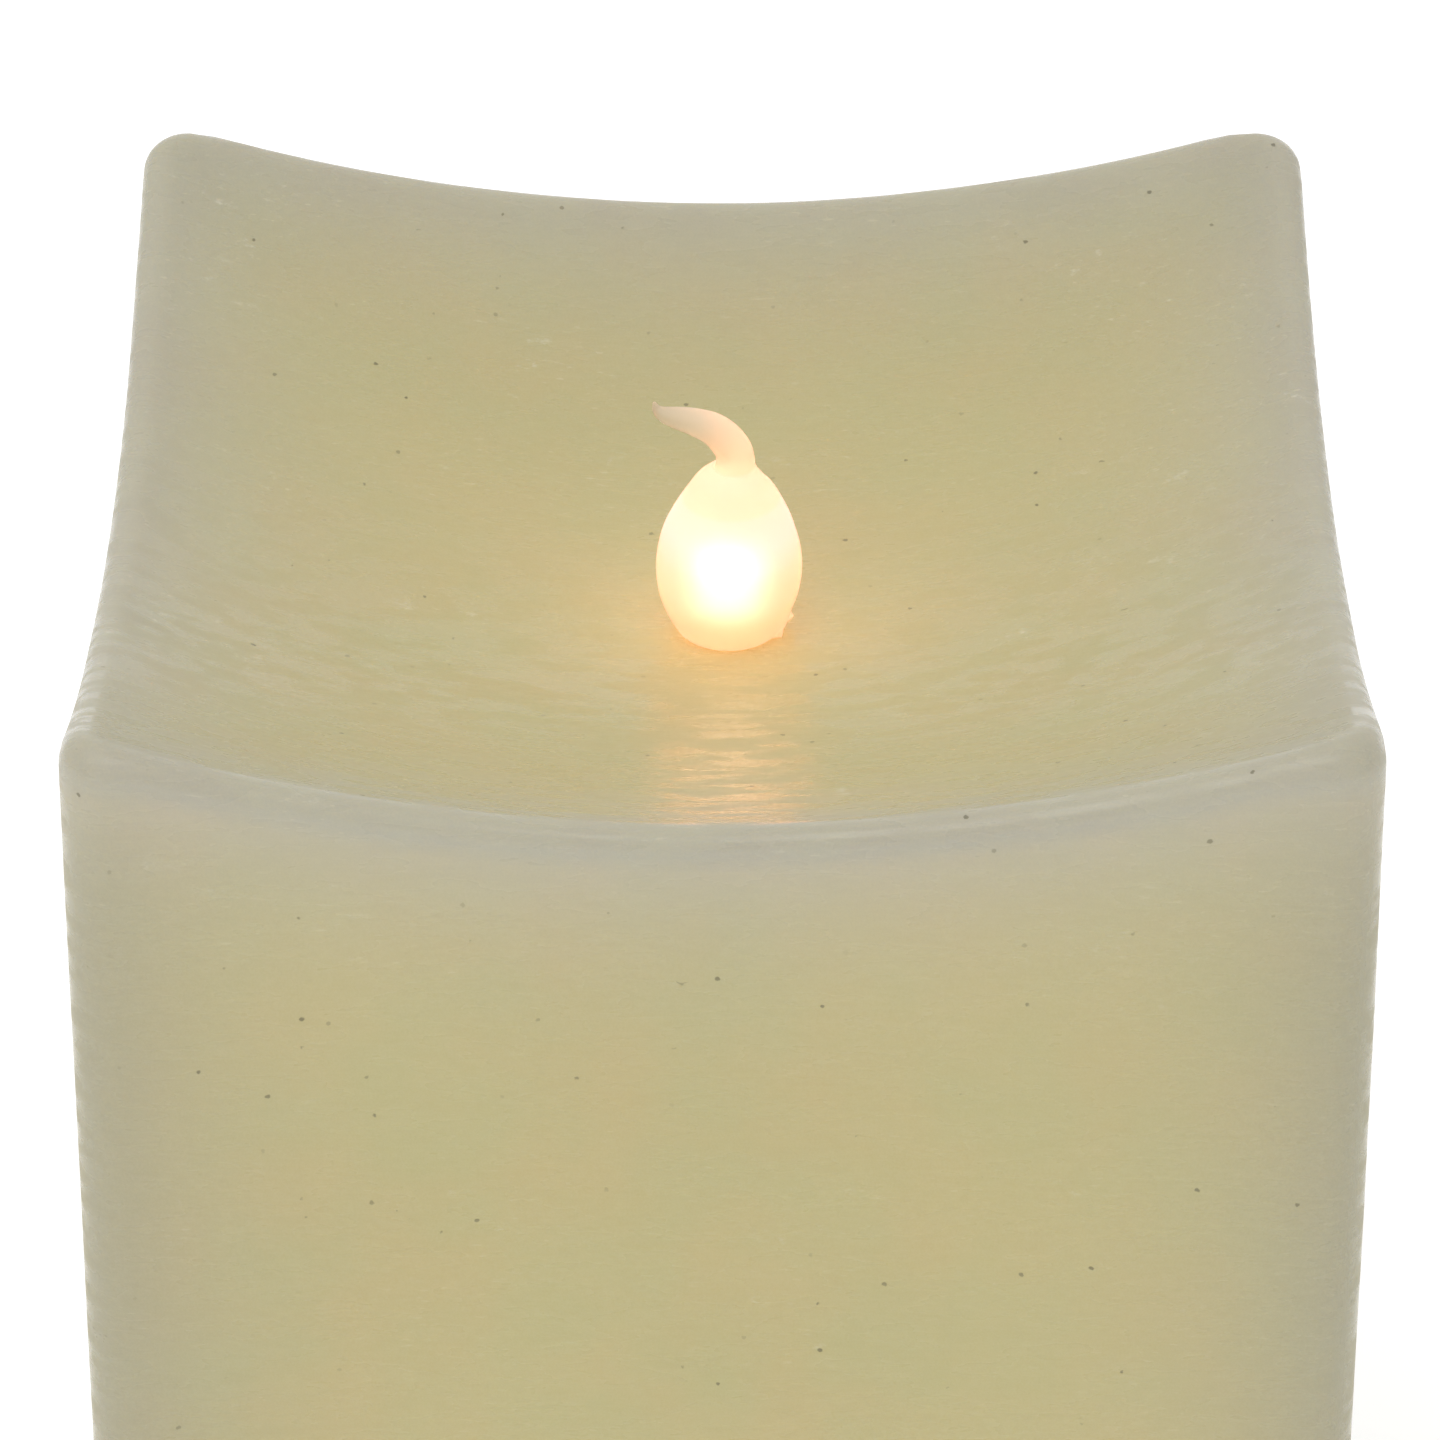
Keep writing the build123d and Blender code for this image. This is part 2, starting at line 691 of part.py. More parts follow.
# ---- wires: two from the battery, two to the LED -----------------------------------------------------

wire_end_z = board_top + 0.05
battery_wire_x = 19.0
tab_x = nub_face + tab_reach - 1.0
battery_wire_z = tab_z + contact_thick / 2 + wire_radius + 0.02
led_wire_spread = 3.0
led_wire_turn_z = 33.5
led_wire_top = lead_bottom - 0.1
solder_places = []


def wire(name, points, radii):
    """Insulated wire: straight runs joined by tangent arcs."""
    with BuildPart() as run:
        with BuildLine() as path:
            FilletPolyline(*points, radius=radii)
        with BuildSketch(Plane(origin=path.line @ 0, z_dir=path.line % 0)):
            Circle(wire_radius)
        sweep()
    length = path.wires()[0].length
    print(f"{name}: length {length:.1f} mm, arcs {radii}, volume ratio "
          f"{run.part.volume / (math.pi * wire_radius ** 2 * length):.4f}")
    run.part.label = name
    export_step(run.part, f"parts/{name}.step")
    solder_places.append((points[-1][0], points[-1][1]) if points[-1][2] < tray_roof else points[0][:2])


wire("battery_wire_red", [
    (tab_x, cell_rows[0] + 1.3, battery_wire_z),
    (tab_x, board_y, battery_wire_z),
    (battery_wire_x, board_y, battery_wire_z),
    (battery_wire_x, board_y, wire_end_z),
], [5.0, 2.6])
wire("battery_wire_black", [
    (-tab_x, cell_rows[-1] + 1.3, battery_wire_z),
    (-tab_x, board_y, battery_wire_z),
    (-battery_wire_x, board_y, battery_wire_z),
    (-battery_wire_x, board_y, wire_end_z),
], [5.0, 2.6])
for name, side in (("led_wire_red", 1), ("led_wire_black", -1)):
    wire(name, [
        (flame_x + side * led_wire_spread, board_y, wire_end_z),
        (flame_x + side * led_wire_spread, board_y, led_wire_turn_z),
        (flame_x + side * lead_pitch / 2, 0, led_wire_turn_z),
        (flame_x + side * lead_pitch / 2, 0, led_wire_top),
    ], [9.0, 8.0])

solder_foot = 1.3
solder_height = 1.1
with BuildPart() as solder_joints:
    for x, y in solder_places:
        with BuildSketch(Plane.XY.offset(board_top)):
            with Locations((x, y)):
                Circle(solder_foot)
        extrude(amount=solder_height, taper=25)
    for x, y in solder_places:
        with BuildSketch(Plane.XY.offset(board_top)):
            with Locations((x, y)):
                Circle(wire_radius + 0.03)
        extrude(amount=solder_height + 0.5, mode=Mode.SUBTRACT)
solder_joints.part.label = "solder_joints"
export_step(solder_joints.part, "parts/solder_joints.step")

# ---- screws ------------------------------------------------------------------------------------------


def screws(name, places, under_head, length, radius, head_radius, head_height):
    """Pan-head self-tapping screws with a cross recess, heads up."""
    with BuildPart() as fasteners:
        with BuildSketch(Plane.XY.offset(under_head - length)):
            with Locations(*places):
                Circle(radius)
        extrude(amount=length)
        with BuildSketch(Plane.XY.offset(under_head)):
            with Locations(*places):
                Circle(head_radius)
        extrude(amount=head_height)
        with BuildSketch(Plane.XY.offset(under_head + head_height)):
            with Locations(*places):
                Rectangle(head_radius * 1.2, head_radius * 0.25)
                Rectangle(head_radius * 0.25, head_radius * 1.2)
        extrude(amount=-head_height * 0.6, mode=Mode.SUBTRACT)
    fasteners.part.label = name
    export_step(fasteners.part, f"parts/{name}.step")


screws("tray_screws", boss_places, boss_top + ear_thick, 8.0, tapping_radius, 2.5, 1.6)
screws("board_screws", post_places, board_top, 6.0, board_screw_radius, 1.9, 1.3)

# ---- hot-melt beads that hold the base in the wax, and the rubber feet --------------------------------

bead_radius = 2.0
bead_length = 14.0
bead_start = 21.0           # along each side, so the beads clear the ribs and the corners
bead_edge = plate_width / 2 + plate_gap / 2
bead_inner = bead_edge - bead_radius
with BuildPart() as glue_beads:
    for turn in range(4):
        spot = Plane.XY.rotated((0, 0, 90 * turn))
        start = spot.from_local_coords((bead_start, 0, 0))
        section = Plane(origin=start, x_dir=spot.y_dir, z_dir=spot.x_dir)
        with BuildSketch(section):
            with BuildLine():
                Line((bead_edge, plate_top), (bead_edge, plate_top + bead_radius))
                RadiusArc((bead_edge, plate_top + bead_radius), (bead_inner, plate_top), bead_radius)
                Line((bead_inner, plate_top), (bead_edge, plate_top))
            make_face()
        extrude(amount=bead_length)
glue_beads.part.label = "glue_beads"
export_step(glue_beads.part, "parts/glue_beads.step")

for number, (sx, sy) in enumerate(corners, start=1):
    with BuildPart() as foot:
        with BuildSketch(Plane.XY):
            with Locations((sx * foot_place, sy * foot_place)):
                Circle(foot_radius)
        extrude(amount=foot_height)
        chamfer(foot.faces().sort_by(Axis.Z)[0].edges(), 0.3)
    foot.part.label = f"foot_{number}"
    export_step(foot.part, f"parts/foot_{number}.step")
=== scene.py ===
import math

import bpy
import numpy as np
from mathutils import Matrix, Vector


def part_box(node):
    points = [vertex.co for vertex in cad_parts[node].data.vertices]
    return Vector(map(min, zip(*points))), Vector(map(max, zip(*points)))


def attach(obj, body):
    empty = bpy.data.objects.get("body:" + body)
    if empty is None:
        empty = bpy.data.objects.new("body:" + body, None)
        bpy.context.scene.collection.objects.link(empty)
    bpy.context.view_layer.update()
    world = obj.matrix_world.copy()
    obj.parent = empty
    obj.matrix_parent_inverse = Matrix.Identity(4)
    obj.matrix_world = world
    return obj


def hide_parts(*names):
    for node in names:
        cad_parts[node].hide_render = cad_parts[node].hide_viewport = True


# Looks of a flameless LED candle, built round its CAD model. Metres, Z up, front towards -Y.
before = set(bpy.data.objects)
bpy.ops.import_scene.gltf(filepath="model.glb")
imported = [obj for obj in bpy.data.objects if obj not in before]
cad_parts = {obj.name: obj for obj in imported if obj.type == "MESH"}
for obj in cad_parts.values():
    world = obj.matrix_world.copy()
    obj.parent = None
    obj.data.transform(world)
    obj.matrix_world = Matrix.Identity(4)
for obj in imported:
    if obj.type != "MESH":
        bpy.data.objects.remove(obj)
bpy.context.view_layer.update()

# ---- Wax pillar -------------------------------------------------------------------------------------
# A square pillar of ivory paraffin wax, cast hollow round a core and then scraped to a dished top.
# Thin wax at the rim and the upright edges lets white light in; its colour there is painted light and shade,
# paler and greyer than the middle.

mm = 0.001
wax_low, wax_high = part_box("wax_shell")
draft = 0.0071
rim_half = wax_high.x - draft * (wax_high.z - wax_low.z)
rim_width = 2 * rim_half
corner_rise = 20.7 * mm
dish_z = wax_high.z - corner_rise
dish_shift = -0.6 * mm
plan_corner = 4.0 * mm
shoulder = 2.9 * mm
foot_round = 0.9 * mm
wall = 8.3 * mm
roof = 16.0 * mm
cavity_half = wax_high.x - wall
cavity_draft = 1.0 * mm
cavity_top = dish_z - roof
hole_radius = 3.3 * mm
hole_top = dish_z - 2 * mm
led_low, led_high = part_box("led_body")
flame_x = (led_low.x + led_high.x) / 2
side_points = 44
corner_points = 12
dish_rings = 74
shoulder_rings = 11


def colour(code):
    """Linear RGBA from an sRGB hex value."""
    parts = [int(code[i:i + 2], 16) / 255 for i in (0, 2, 4)]
    linear = [c / 12.92 if c <= 0.04045 else ((c + 0.055) / 1.055) ** 2.4 for c in parts]
    return (*linear, 1.0)


def put(tree, kind, inputs=None, **settings):
    """Adds a node. An input's value is a number, a colour or another node's output."""
    made = tree.nodes.new(kind)
    for name, value in settings.items():
        setattr(made, name, value)
    for name, value in (inputs or {}).items():
        if isinstance(value, bpy.types.NodeSocket):
            tree.links.new(value, made.inputs[name])
        else:
            made.inputs[name].default_value = value
    return made


def new_finish(name):
    """An empty material, and its node tree."""
    finish = bpy.data.materials.new(name)
    finish.use_nodes = True
    finish.node_tree.nodes.clear()
    return finish, finish.node_tree


def add_mesh(name, points, faces, finish, smooth=True):
    """A mesh object at the origin, shaded smooth, with one material."""
    mesh = bpy.data.meshes.new(name)
    mesh.from_pydata([tuple(p) for p in points], [], faces)
    mesh.materials.append(finish)
    mesh.polygons.foreach_set("use_smooth", [smooth] * len(mesh.polygons))
    mesh.update()
    piece = bpy.data.objects.new(name, mesh)
    bpy.context.scene.collection.objects.link(piece)
    return piece


def square_outline(half, radius):
    """Points round a square with rounded corners, always the same number of them."""
    points = []
    for quarter in range(4):
        turn = quarter * math.pi / 2
        flat = half - radius
        local = [(half, -flat + 2 * flat * i / side_points) for i in range(side_points)]
        for i in range(corner_points):
            angle = math.pi / 2 * i / corner_points
            local.append((flat + radius * math.cos(angle), flat + radius * math.sin(angle)))
        cos, sin = math.cos(turn), math.sin(turn)
        points += [(x * cos - y * sin, x * sin + y * cos) for x, y in local]
    return np.array(points)


def wall_half(height):
    """Half the pillar's width at a height."""
    return rim_half + draft * (wax_high.z - height)


def wax_rings():
    """Rings of points of the uncarved pillar, each with how far it follows the dish, 0 to 1."""
    rings = []
    crest = square_outline(rim_half - shoulder, plan_corner - shoulder)
    centre = np.array((flame_x, 0))
    outward = crest - centre
    hole = centre + hole_radius * outward / np.linalg.norm(outward, axis=1)[:, None]
    for share in np.linspace(0, 1, dish_rings) ** 0.9:
        rings.append((hole + (crest - hole) * share, wax_high.z, 1.0))
    for angle in np.linspace(math.pi / 2, 0, shoulder_rings + 1)[1:]:
        inset = shoulder * (1 - math.cos(angle))
        height = wax_high.z - shoulder * (1 - math.sin(angle))
        rings.append((square_outline(rim_half - inset, plan_corner - inset), height, 1.0))
    wall_top = wax_high.z - shoulder
    wall_bottom = wax_low.z + foot_round
    for share in np.linspace(0, 1, 96)[1:]:
        height = wall_top + (wall_bottom - wall_top) * share
        rings.append((square_outline(wall_half(height), plan_corner), height, 1 - share))
    for angle in np.linspace(0, math.pi / 2, 5)[1:]:
        inset = foot_round * (1 - math.cos(angle))
        height = wall_bottom - foot_round * math.sin(angle)
        rings.append((square_outline(wall_half(height) - inset, plan_corner - inset), height, 0.0))
    for share in np.linspace(0, 1, 16):
        half = cavity_half - cavity_draft * share
        height = wax_low.z + (cavity_top - wax_low.z) * share
        rings.append((square_outline(half, plan_corner), height, 0.0))
    for height in (cavity_top, hole_top):
        rings.append((hole, height, 0.0))
    return rings


def ring_faces(ring_count, around):
    """Quads between neighbouring rings, closed both ways."""
    faces = []
    for ring in range(ring_count):
        for i in range(around):
            j = (i + 1) % around
            upper, lower = ring * around, (ring + 1) % ring_count * around
            faces.append((upper + i, lower + i, lower + j, upper + j))
    return faces


def carving():
    """Node tree that carves the dish into the pillar and gives its faces a hand-finished waver."""
    tree = bpy.data.node_groups.new("Carved dish", "GeometryNodeTree")
    face = tree.interface
    face.new_socket("Geometry", in_out="INPUT", socket_type="NodeSocketGeometry")
    sizes = (("Rim width", rim_width), ("Corner rise", corner_rise), ("Dish shift", dish_shift),
             ("Rise across", 0.4624), ("Rise along", 0.5538), ("Twist", -0.4756), ("Waver", 0.35 * mm))
    for name, value in sizes:
        face.new_socket(name, in_out="INPUT", socket_type="NodeSocketFloat").default_value = value
    face.new_socket("Finish", in_out="INPUT", socket_type="NodeSocketMaterial")
    face.new_socket("Geometry", in_out="OUTPUT", socket_type="NodeSocketGeometry")
    given = put(tree, "NodeGroupInput").outputs

    def reckon(kind, first, second, third=0.5):
        return put(tree, "ShaderNodeMath", {0: first, 1: second, 2: third}, operation=kind).outputs[0]

    place = put(tree, "GeometryNodeInputPosition").outputs[0]
    axes = put(tree, "ShaderNodeSeparateXYZ", {0: place}).outputs
    across = reckon("DIVIDE", reckon("SUBTRACT", axes[0], given["Dish shift"]), given["Rim width"])
    along = reckon("DIVIDE", axes[1], given["Rim width"])
    across_squared = reckon("MULTIPLY", across, across)
    along_squared = reckon("MULTIPLY", along, along)
    twist = reckon("MULTIPLY", given["Twist"], reckon("MULTIPLY", across_squared, along_squared))
    rise = reckon("ADD", reckon("MULTIPLY", given["Rise across"], across_squared),
                  reckon("MULTIPLY", given["Rise along"], along_squared))
    rise = reckon("MULTIPLY", reckon("ADD", rise, twist), given["Rim width"])
    drop = reckon("SUBTRACT", rise, given["Corner rise"])
    worn = reckon("SMOOTH_MIN", drop, -0.25 * mm, 0.7 * mm)
    follows = put(tree, "GeometryNodeInputNamedAttribute", {"Name": "follows_dish"}, data_type="FLOAT")
    lowered = reckon("MULTIPLY", worn, follows.outputs[0])
    carve = put(tree, "ShaderNodeCombineXYZ", {2: lowered}).outputs[0]
    carved = put(tree, "GeometryNodeSetPosition", {"Geometry": given["Geometry"], "Offset": carve})
    clouds = put(tree, "ShaderNodeTexNoise", {"Vector": place, "Scale": 34.0, "Detail": 1.0, "W": 3.0},
                 noise_dimensions="4D")
    centred = put(tree, "ShaderNodeVectorMath", {0: clouds.outputs["Color"], 1: (0.5, 0.5, 0.5)},
                  operation="SUBTRACT").outputs[0]
    waver = put(tree, "ShaderNodeVectorMath", {0: centred, "Scale": given["Waver"]}, operation="SCALE")
    wavy = put(tree, "GeometryNodeSetPosition", {"Geometry": carved.outputs[0], "Offset": waver.outputs[0]})
    real = put(tree, "GeometryNodeRealizeInstances", {"Geometry": wavy.outputs[0]})
    coated = put(tree, "GeometryNodeSetMaterial", {"Geometry": real.outputs[0], "Material": given["Finish"]})
    put(tree, "NodeGroupOutput", {"Geometry": coated.outputs[0]})
    return tree


def run_tree(piece, tree, values):
    """Runs a node tree on a piece with its named inputs set, and keeps the plain mesh."""
    modifier = piece.modifiers.new("shape", "NODES")
    modifier.node_group = tree
    for item in tree.interface.items_tree:
        if item.item_type == "SOCKET" and item.in_out == "INPUT" and item.name in values:
            modifier[item.identifier] = values[item.name]
    bpy.context.view_layer.update()
    shaped = piece.evaluated_get(bpy.context.evaluated_depsgraph_get())
    mesh = bpy.data.meshes.new_from_object(shaped)
    mesh.name = piece.name
    piece.modifiers.remove(modifier)
    piece.data = mesh
    return piece


def paraffin_wax():
    """Cast paraffin: a milky body, glossy where rubbed, with scrape lines, scuffs, dust specks and fibres;
    painted light and shade at the rim and upright edges, and a painted lamp glow.
    """
    finish, tree = new_finish("paraffin_wax")

    def attribute(name):
        return put(tree, "ShaderNodeAttribute", attribute_name=name).outputs["Fac"]

    # the lines run level along each wall, so the pattern is turned a quarter on the left and right walls
    whole = put(tree, "ShaderNodeTexCoord").outputs["Object"]
    axes = put(tree, "ShaderNodeSeparateXYZ", {0: whole}).outputs
    quarter = put(tree, "ShaderNodeCombineXYZ", {0: axes[1], 1: axes[0], 2: axes[2]}).outputs[0]
    place = put(tree, "ShaderNodeMix", {0: attribute("turned"), 4: whole, 5: quarter},
                data_type="VECTOR").outputs[1]

    def noise(stretch, size, detail, roughness=0.5, shift=0.0):
        """Noise whose features are size metres across, drawn out along the axes by stretch."""
        scale = [1 / (size * s) for s in stretch]
        moved = put(tree, "ShaderNodeMapping", {"Vector": place, "Scale": scale}).outputs[0]
        made = put(tree, "ShaderNodeTexNoise", {"Vector": moved, "W": shift, "Scale": 1.0, "Detail": detail,
                                                "Roughness": roughness}, noise_dimensions="4D")
        return made.outputs["Fac"]

    def ramp(value, low, high, bottom=0.0, top=1.0):
        made = put(tree, "ShaderNodeMapRange", {"Value": value, "From Min": low, "From Max": high,
                                                "To Min": bottom, "To Max": top},
                   interpolation_type="SMOOTHSTEP")
        return made.outputs[0]

    def mix(factor, first, second):
        return put(tree, "ShaderNodeMix", {0: factor, 6: first, 7: second}, data_type="RGBA").outputs[2]

    def times(first, second):
        return put(tree, "ShaderNodeMath", {0: first, 1: second}, operation="MULTIPLY").outputs[0]

    def bits(stretch, size, radius, warp):
        """Scattered bits of dirt, one to each cell of size metres, ragged and of varied darkness."""
        ragged = put(tree, "ShaderNodeTexNoise", {"Vector": place, "Scale": 1 / warp, "Detail": 3.0})
        pushed = put(tree, "ShaderNodeVectorMath", {0: ragged.outputs["Color"], 1: (warp,) * 3, 2: place},
                     operation="MULTIPLY_ADD").outputs[0]
        scale = [1 / (size * s) for s in stretch]
        moved = put(tree, "ShaderNodeMapping", {"Vector": pushed, "Scale": scale}).outputs[0]
        cells = put(tree, "ShaderNodeTexVoronoi", {"Vector": moved, "Scale": 1.0}).outputs
        shape = ramp(cells["Distance"], radius * 0.6, radius, 1.0, 0.0)
        chance = put(tree, "ShaderNodeSeparateColor", {"Color": cells["Color"]}).outputs[0]
        return times(shape, ramp(chance, 0.5, 1.0, 0.04, 0.7))

    # colour: olive ivory in the middle, with painted shade greying the upright edges and painted light making
    # the rim pale and cool
    body = mix(ramp(noise((1, 1, 1), 11 * mm, 2.0), 0.3, 0.7), colour("B9AA77"), colour("B3AB79"))
    body = mix(ramp(noise((1, 1, 1), 34 * mm, 1.0, shift=2.0), 0.3, 0.7, 0.0, 0.4), body, colour("BAB07C"))
    # painted shade: the colour is greyer towards the upright edges
    body = mix(attribute("edge_shade_painted"), body, colour("9E9A84"))
    # painted light: the rim is painted paler and cooler, a little differently on the top and on the sides
    painted_rim_tone = mix(attribute("on_top"), colour("B4AC99"), colour("A9A596"))
    painted_rim_clouds = ramp(noise((1, 1, 1), 9 * mm, 2.0, shift=5.0), 0.35, 0.65, 0.0, 0.5)
    painted_rim_tone = mix(painted_rim_clouds, painted_rim_tone, colour("AEAC99"))
    body = mix(attribute("rim_light_painted"), body, painted_rim_tone)
    body = mix(ramp(noise((1, 1, 1), 0.2 * mm, 2.0, 0.7), 0.3, 0.7, 0.0, 0.1), body, colour("DAD3AE"))
    body = mix(ramp(noise((5, 1, 0.7), 0.5 * mm, 4.0, 0.7), 0.35, 0.75, 0.0, 0.07), body, colour("D8D0A6"))

    # short pale strokes and milky scuffs, gathered in patches where the wax was handled
    patch = noise((1, 1, 1), 13 * mm, 2.0, shift=1.0)
    handled = times(ramp(patch, 0.4, 0.65, 0.06, 0.22), ramp(attribute("on_top"), 0.0, 1.0, 0.55, 1.0))
    strokes = ramp(noise((4, 1.2, 0.9), 0.36 * mm, 2.0, 0.5, shift=3.0), 0.62, 0.76)
    body = mix(times(strokes, handled), body, colour("F0E9CC"))
    scuffs = ramp(noise((1.6, 1, 1), 2.2 * mm, 5.0, 0.7, shift=7.0), 0.6, 0.72)
    body = mix(times(scuffs, times(handled, ramp(patch, 0.45, 0.65, 0.0, 1.5))), body, colour("EDEBDD"))
    body = mix(bits((1, 1, 1), 2.7 * mm, 0.09, 0.4 * mm), body, colour("5C563C"))
    body = mix(bits((3.4, 1, 1), 3.4 * mm, 0.034, 1.6 * mm), body, colour("6B6244"))

    # surface: knife and brush lines run across the pillar, with duller patches between
    scrape = noise((9, 1, 0.8), 0.5 * mm, 4.0, 0.55)
    ripple = noise((5, 1, 1), 2.6 * mm, 2.0, shift=4.0)
    lines = put(tree, "ShaderNodeMath", {0: times(scrape, 0.6), 1: ripple}, operation="ADD").outputs[0]
    depth = times(lines, ramp(attribute("on_top"), 0.0, 1.0, 0.22, 1.0))
    depth = times(depth, ramp(attribute("rim_light_painted"), 0.05, 0.6, 1.0, 0.08))
    depth = times(depth, ramp(attribute("edge_shade_painted"), 0.1, 0.8, 1.0, 0.15))
    bump = put(tree, "ShaderNodeBump", {"Height": depth, "Strength": 0.6, "Distance": 0.1 * mm})
    gloss = ramp(noise((3.5, 1, 1), 1.8 * mm, 3.0, shift=6.0), 0.42, 0.6, 0.2, 0.5)
    # the emission is painted light: the LED's warm glow soaked into the wax round the flame
    shader = put(tree, "ShaderNodeBsdfPrincipled", {
        "Base Color": body, "Roughness": gloss, "Normal": bump.outputs[0], "IOR": 1.5,
        "Subsurface Weight": 0.3, "Subsurface Radius": (1.0, 0.72, 0.36), "Subsurface Scale": 5 * mm,
        "Emission Color": colour("FFD084"), "Emission Strength": attribute("painted_lamp_glow"),
    })
    put(tree, "ShaderNodeOutputMaterial", {"Surface": shader.outputs[0]})
    return finish


rings = wax_rings()
around = len(rings[0][0])
wax_points = [(x, y, height) for outline, height, _ in rings for x, y in outline]
wax_finish = paraffin_wax()
wax = add_mesh("wax_pillar", wax_points, ring_faces(len(rings), around), wax_finish)
follows = np.repeat([follow for _, _, follow in rings], around).astype(np.float32)
wax.data.attributes.new("follows_dish", "FLOAT", "POINT").data.foreach_set("value", follows)
run_tree(wax, carving(), {"Rim width": rim_width, "Corner rise": corner_rise, "Finish": wax_finish})

carved = np.array([v.co for v in wax.data.vertices])
half_here = wall_half(carved[:, 2])
from_sides = half_here[:, None] - np.abs(carved[:, :2])
rim_heights = carved[:, 2].reshape(len(rings), around)[dish_rings - 1]
below_rim = np.tile(rim_heights, len(rings)) - carved[:, 2]
on_top = np.repeat([ring < dish_rings + shoulder_rings for ring in range(len(rings))], around)
side_gap = from_sides.min(axis=1)
edge_gap = from_sides.max(axis=1)
from_rim = np.where(on_top, side_gap, np.maximum(below_rim, 0))
rim_light_reach = np.where(on_top, 10.2, 8.8) * mm
edge_shade_reach = 10 * mm
painted_glow_reach = 7 * mm
# painted light and shade: how strongly the rim is painted paler and the upright edges greyer
rim_light_amount = np.exp(-(np.maximum(from_rim, 0) / rim_light_reach) ** 1.3)
edge_shade_amount = np.exp(-(np.maximum(edge_gap, 0) / edge_shade_reach) ** 1.3)
# painted light: the wax is made to glow, fading with distance from the flame's foot
from_flame = np.linalg.norm(carved - np.array((flame_x, 0, dish_z + 2 * mm)), axis=1)
painted_glow_amount = 0.42 * np.exp(-from_flame / painted_glow_reach)
turned = (np.abs(carved[:, 0]) > np.abs(carved[:, 1])) & ~on_top
for name, values in (("rim_light_painted", rim_light_amount), ("edge_shade_painted", edge_shade_amount), ("painted_lamp_glow", painted_glow_amount),
                     ("on_top", np.where(on_top, 1.0, 0.0)), ("turned", np.where(turned, 1.0, 0.0))):
    wax.data.attributes.new(name, "FLOAT", "POINT").data.foreach_set("value", values.astype(np.float32))
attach(wax, "candle")
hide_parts("wax_shell")

# ---- Flame ------------------------------------------------------------------------------------------
# The LED's cap: the lens is dipped in frosted silicone and hung up to set, so the drip draws out into a
# curled tail. It is cut off open at the bottom and sits on the wax. Lit, its middle is nearly white.

flame_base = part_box("flame_tip")[0].z
flame_stations = [
    # centre x, height, radius, all in millimetres from the flame's axis and its cut ring
    (0.0, 0.0, 4.1), (0.0, 0.35, 4.45), (0.0, 1.8, 5.2), (0.0, 3.8, 5.85), (0.05, 6.0, 6.07), (0.1, 8.2, 5.8),
    (0.2, 10.2, 5.15), (0.28, 12.0, 4.3), (0.36, 13.6, 3.35), (0.48, 14.6, 2.5), (0.56, 15.2, 1.9),
    (0.57, 15.45, 1.68), (0.56, 16.0, 1.6), (0.4, 17.0, 1.53), (-0.3, 18.1, 1.47), (-1.2, 18.95, 1.36),
    (-2.2, 19.45, 1.24), (-3.3, 19.83, 1.08), (-4.4, 20.1, 0.9), (-5.3, 20.4, 0.68), (-5.85, 20.85, 0.42),
    (-6.1, 21.5, 0.14),
]
flash_thorns = [
    # angle in degrees, height, reach, spread in degrees, spread in height: a flap and two thorns at the seam
    (-14, 0.5, 0.3, 13, 0.9), (-3, 1.0, 0.55, 3.6, 0.4), (-25, 0.1, 0.6, 3.6, 0.45),
]


def smooth_path(stations, steps):
    """Points on a smooth curve through all the stations."""
    stations = np.array(stations)
    padded = np.vstack([2 * stations[0] - stations[1], stations, 2 * stations[-1] - stations[-2]])
    points = []
    for i in range(len(stations) - 1):
        a, b, c, d = padded[i:i + 4]
        for t in np.arange(steps) / steps:
            points.append(0.5 * (2 * b + (c - a) * t + (2 * a - 5 * b + 4 * c - d) * t ** 2
                                 + (3 * b - a - 3 * c + d) * t ** 3))
    points.append(stations[-1])
    return np.array(points)


def frosted_silicone():
    """Frosted translucent silicone lit by a warm white LED: it glows, most in the egg, least in the tail."""
    finish, tree = new_finish("frosted_silicone")
    place = put(tree, "ShaderNodeTexCoord").outputs["Object"]
    lit = put(tree, "ShaderNodeAttribute", attribute_name="lit").outputs["Fac"]

    def tones(stops):
        """A colour for each height of lit."""
        made = put(tree, "ShaderNodeValToRGB", {"Fac": lit})
        elements = made.color_ramp.elements
        elements[0].color = colour(stops[0][1])
        elements[1].color = colour(stops[-1][1])
        for position, tint in stops[1:-1]:
            elements.new(position).color = colour(tint)
        return made.outputs[0]

    body = tones([(0.0, "D8D2BE"), (0.35, "ECE2D0"), (0.7, "FAEBD9"), (1.0, "F9F4F0")])
    glow = tones([(0.0, "5E4630"), (0.35, "7A6248"), (0.7, "D09064"), (0.88, "F09C68"), (1.0, "F0A4AC")])
    frost = put(tree, "ShaderNodeTexNoise", {"Vector": place, "Scale": 1 / (0.5 * mm), "Detail": 3.0})
    bump = put(tree, "ShaderNodeBump", {"Height": frost.outputs["Fac"], "Strength": 0.15,
                                        "Distance": 0.05 * mm})
    shader = put(tree, "ShaderNodeBsdfPrincipled", {
        "Base Color": body, "Roughness": 0.58, "IOR": 1.41, "Normal": bump.outputs[0],
        "Transmission Weight": 0.55, "Emission Color": glow, "Emission Strength": 0.5,
    })
    put(tree, "ShaderNodeOutputMaterial", {"Surface": shader.outputs[0]})
    return finish


